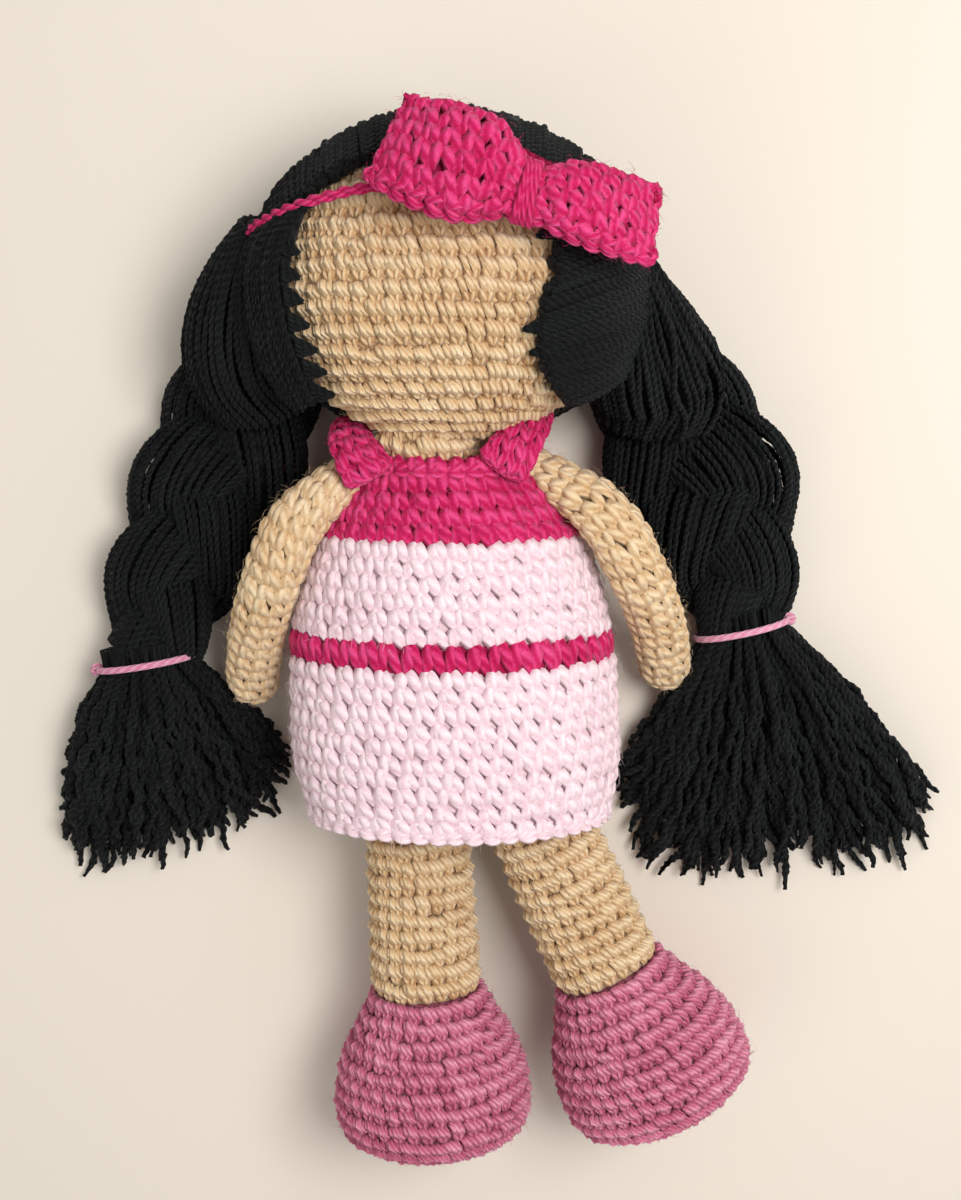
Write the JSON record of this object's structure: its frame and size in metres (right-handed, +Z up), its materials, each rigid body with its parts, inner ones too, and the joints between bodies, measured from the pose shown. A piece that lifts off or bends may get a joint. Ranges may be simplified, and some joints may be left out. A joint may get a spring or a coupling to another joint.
{
  "type": "crocheted doll",
  "caption": "Crocheted stuffed doll without a drawn face, lying on its back, with plaits, a bow, a sleeveless dress and movable head, arms, legs and plaits.",
  "frame": {"origin": "on the ground under the middle of the whole doll, which lies on its back", "axes": "+Y towards the top of the head along the doll's length, +Z up out of its front, +X to the right as one looks down on it"},
  "size_m": [0.25, 0.2724, 0.0861],
  "materials": {
    "skin_yarn": "matt beige yarn in single crochet",
    "hot_pink_yarn": "matt hot pink yarn in single crochet",
    "pale_pink_yarn": "matt pale pink yarn in single crochet",
    "dusky_pink_yarn": "matt dusky pink yarn in single crochet",
    "black_yarn": "twisted black yarn with a slight sheen",
    "light_pink_yarn": "thin light pink yarn",
    "fibre_stuffing": "white fibre stuffing"
  },
  "bodies": {
    "body": {"torso_skin": "skin_yarn", "torso_stuffing": "fibre_stuffing", "dress_bodice": "hot_pink_yarn", "dress_band": "pale_pink_yarn", "dress_stripe": "hot_pink_yarn", "dress_skirt": "pale_pink_yarn", "dress_strap_left": "hot_pink_yarn", "dress_strap_right": "hot_pink_yarn"},
    "head": {"head_skin": "skin_yarn", "head_stuffing": "fibre_stuffing", "hair_left": "black_yarn", "hair_right": "black_yarn", "headband": "hot_pink_yarn", "bow": "hot_pink_yarn", "bow_wrap": "hot_pink_yarn"},
    "plait_left": {"plait_left_strand_1": "black_yarn", "plait_left_strand_2": "black_yarn", "plait_left_strand_3": "black_yarn", "plait_left_tie": "light_pink_yarn"},
    "tassel_left": {"tassel_left": "black_yarn"},
    "arm_left": {"arm_left": "skin_yarn", "arm_left_stuffing": "fibre_stuffing"},
    "leg_left": {"leg_left": "skin_yarn", "shoe_left": "dusky_pink_yarn", "leg_left_stuffing": "fibre_stuffing"},
    "plait_right": {"plait_right_strand_1": "black_yarn", "plait_right_strand_2": "black_yarn", "plait_right_strand_3": "black_yarn", "plait_right_tie": "light_pink_yarn"},
    "tassel_right": {"tassel_right": "black_yarn"},
    "arm_right": {"arm_right": "skin_yarn", "arm_right_stuffing": "fibre_stuffing"},
    "leg_right": {"leg_right": "skin_yarn", "shoe_right": "dusky_pink_yarn", "leg_right_stuffing": "fibre_stuffing"}
  },
  "joints": [
    {"name": "head_nod", "type": "hinge", "parent": "body", "child": "head", "pos_m": [-0.00823, 0.05879, 0.0373], "axis": [1, 0, 0], "range_deg": [-5, 10]},
    {"name": "arm_left_lift", "type": "hinge", "parent": "body", "child": "arm_left", "pos_m": [-0.02963, 0.05099, 0.037], "axis": [-0.8944, 0.4472, 0], "range_deg": [0, 65]},
    {"name": "leg_left_lift", "type": "hinge", "parent": "body", "child": "leg_left", "pos_m": [-0.01753, -0.03241, 0.026], "axis": [-0.9986, -0.0523, 0], "range_deg": [0, 30]},
    {"name": "plait_left_swing", "type": "hinge", "parent": "head", "child": "plait_left", "pos_m": [-0.05868, 0.08533, 0.011], "axis": [0, 0, -1], "range_deg": [0, 40]},
    {"name": "tassel_left_fold", "type": "hinge", "parent": "plait_left", "child": "tassel_left", "pos_m": [-0.09082, -0.00904, 0.011], "axis": [-0.9371, 0.3491, 0], "range_deg": [0, 80]},
    {"name": "arm_right_lift", "type": "hinge", "parent": "body", "child": "arm_right", "pos_m": [0.01257, 0.05099, 0.037], "axis": [-0.8513, -0.5247, 0], "range_deg": [0, 65]},
    {"name": "leg_right_lift", "type": "hinge", "parent": "body", "child": "leg_right", "pos_m": [0.01007, -0.03241, 0.026], "axis": [-0.91, -0.4147, 0], "range_deg": [0, 13]},
    {"name": "plait_right_swing", "type": "hinge", "parent": "head", "child": "plait_right", "pos_m": [0.04157, 0.08403, 0.011], "axis": [0, 0, 1], "range_deg": [0, 40]},
    {"name": "tassel_right_fold", "type": "hinge", "parent": "plait_right", "child": "tassel_right", "pos_m": [0.07072, -0.00125, 0.011], "axis": [-0.9904, -0.1382, 0], "range_deg": [0, 80]}
  ]
}
